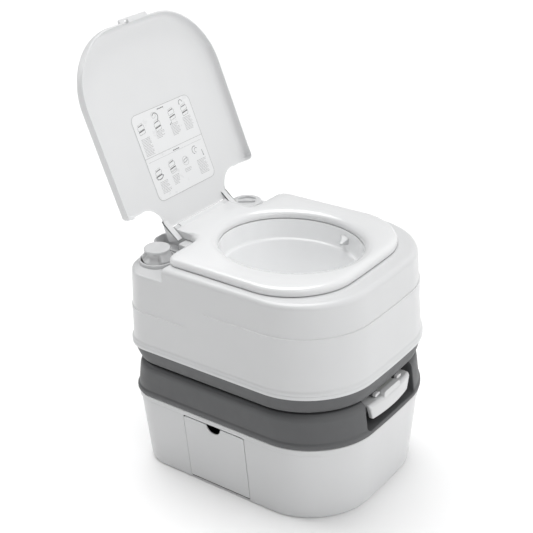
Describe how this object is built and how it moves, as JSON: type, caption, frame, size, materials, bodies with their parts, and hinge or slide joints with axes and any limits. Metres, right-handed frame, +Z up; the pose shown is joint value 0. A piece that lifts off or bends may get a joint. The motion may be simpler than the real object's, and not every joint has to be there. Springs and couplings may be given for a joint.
{
  "type": "portable camp toilet",
  "caption": "Portable camp toilet: flush tank with bowl, seat, lid and hand pump on a detachable waste tank with slide valve and pour-out spout.",
  "frame": {"origin": "on the floor, in the middle of the base, in the plane of left-right symmetry", "axes": "+Z up, +X towards the fill cap's side, front with the valve handle towards -Y"},
  "size_m": [0.37, 0.5155, 0.7429],
  "materials": {
    "white_plastic": "moulded, satin",
    "grey_plastic": "moulded, satin",
    "inner_plastic": "moulded",
    "label": "printed film",
    "rubber": "moulded",
    "steel": "drawn"
  },
  "bodies": {
    "waste_tank": {"waste_tank_base": "white_plastic", "waste_tank_top": "grey_plastic", "valve_housing": "grey_plastic", "valve_seal_upper": "rubber", "valve_seal_lower": "rubber", "valve_screws": "steel", "tank_seal": "rubber", "spout_oring": "rubber", "latch_pin": "steel"},
    "side_door_left": {"side_door_left": "white_plastic"},
    "side_door_right": {"side_door_right": "white_plastic"},
    "valve": {"valve_blade": "inner_plastic", "valve_handle": "white_plastic"},
    "spout": {"spout": "grey_plastic"},
    "spout_cap": {"spout_cap": "grey_plastic", "spout_cap_gasket": "rubber"},
    "rear_latch": {"rear_latch": "white_plastic"},
    "flush_tank": {"flush_tank_base": "grey_plastic", "flush_tank_shell": "white_plastic", "bowl": "white_plastic", "front_pegs": "white_plastic", "flush_nozzle": "white_plastic", "pump_hose": "inner_plastic", "pump_collar": "white_plastic", "pump_spring": "steel", "pump_barrel": "inner_plastic", "foot_valve": "rubber", "filler_neck": "white_plastic", "fill_cap_gasket": "rubber", "hinge_pins": "steel"},
    "pump": {"pump_knob": "white_plastic", "pump_rod": "steel", "pump_piston": "rubber"},
    "fill_cap": {"fill_cap": "white_plastic"},
    "seat": {"seat": "white_plastic", "seat_bumpers": "rubber"},
    "lid": {"lid": "white_plastic", "lid_rim": "white_plastic", "lid_label": "label"}
  },
  "joints": [
    {"name": "tank_lift_off", "type": "slide", "parent": "waste_tank", "child": "flush_tank", "axis": [0, 0, 1], "range_m": [0, 0.12]},
    {"name": "lid_hinge", "type": "hinge", "parent": "flush_tank", "child": "lid", "pos_m": [0, 0.1675, 0.411], "axis": [-1, 0, 0], "range_deg": [-111.3, 0]},
    {"name": "seat_hinge", "type": "hinge", "parent": "flush_tank", "child": "seat", "pos_m": [0, 0.1675, 0.411], "axis": [-1, 0, 0], "range_deg": [0, 95]},
    {"name": "pump_press", "type": "slide", "parent": "flush_tank", "child": "pump", "axis": [0, 0, -1], "range_m": [0, 0.02], "stiffness_N_per_m": 300, "springref_m": -0.01, "deforming": ["pump_spring"]},
    {"name": "fill_cap_twist", "type": "hinge", "parent": "flush_tank", "child": "fill_cap", "pos_m": [0.121, 0.1615, 0.39], "axis": [0, 0, 1], "range_deg": [0, 120]},
    {"name": "valve_pull", "type": "slide", "parent": "waste_tank", "child": "valve", "axis": [0, -1, 0], "range_m": [0, 0.104]},
    {"name": "spout_swing", "type": "hinge", "parent": "waste_tank", "child": "spout", "pos_m": [0.135, 0.168, 0.18], "axis": [0, 0, -1], "range_deg": [0, 120]},
    {"name": "spout_cap_twist", "type": "hinge", "parent": "spout", "child": "spout_cap", "pos_m": [0.06, 0.168, 0.18], "axis": [-1, 0, 0], "range_deg": [0, 120]},
    {"name": "rear_latch_lock", "type": "hinge", "parent": "waste_tank", "child": "rear_latch", "pos_m": [0, 0.2035, 0.164], "axis": [1, 0, 0], "range_deg": [0, 25]},
    {"name": "left_door_hinge", "type": "hinge", "parent": "waste_tank", "child": "side_door_left", "pos_m": [-0.1596, 0.022, 0.0092], "axis": [0, -1, 0], "range_deg": [0, 80]},
    {"name": "right_door_hinge", "type": "hinge", "parent": "waste_tank", "child": "side_door_right", "pos_m": [0.1596, 0.022, 0.0092], "axis": [0, 1, 0], "range_deg": [0, 80]}
  ]
}
